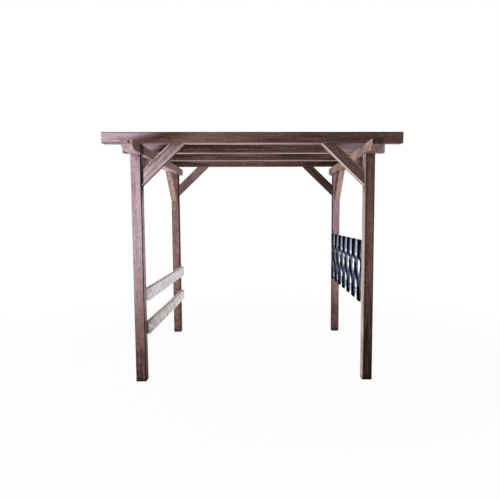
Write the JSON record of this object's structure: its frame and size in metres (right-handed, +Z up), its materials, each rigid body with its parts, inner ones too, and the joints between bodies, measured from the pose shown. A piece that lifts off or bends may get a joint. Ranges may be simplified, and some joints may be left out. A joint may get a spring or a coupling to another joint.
{
  "type": "pergola",
  "caption": "Open timber pergola on square posts with overhanging side beams and rafters, knee braces, pale boards along one side and a dark screen of bowed slats along the other.",
  "frame": {"origin": "on the floor, midway between the four posts", "axes": "+X to the right along the rafters, +Y from the front to the back along the side beams, +Z up"},
  "size_m": [3, 2.779, 2.534],
  "materials": {
    "stained_timber": "dark brown stain over open grain",
    "pale_board": "weathered pale grey, sawn",
    "dark_screen": "blue-black satin paint"
  },
  "bodies": {
    "root": {"cross_brace_back_left": "stained_timber", "cross_brace_back_right": "stained_timber", "cross_brace_front_left": "stained_timber", "cross_brace_front_right": "stained_timber", "left_board_lower": "pale_board", "left_board_upper": "pale_board", "post_back_left": "stained_timber", "post_back_right": "stained_timber", "post_front_left": "stained_timber", "post_front_right": "stained_timber", "rafter_back": "stained_timber", "rafter_front": "stained_timber", "rafter_second": "stained_timber", "rafter_third": "stained_timber", "screen_rail_bottom": "dark_screen", "screen_rail_top": "dark_screen", "screen_slat_01": "dark_screen", "screen_slat_02": "dark_screen", "screen_slat_03": "dark_screen", "screen_slat_04": "dark_screen", "screen_slat_05": "dark_screen", "screen_slat_06": "dark_screen", "screen_slat_07": "dark_screen", "screen_slat_08": "dark_screen", "screen_slat_09": "dark_screen", "screen_slat_10": "dark_screen", "screen_slat_11": "dark_screen", "screen_slat_12": "dark_screen", "screen_slat_13": "dark_screen", "side_beam_left": "stained_timber", "side_beam_right": "stained_timber", "side_brace_back_left": "stained_timber", "side_brace_back_right": "stained_timber", "side_brace_front_left": "stained_timber", "side_brace_front_right": "stained_timber"}
  },
  "joints": []
}
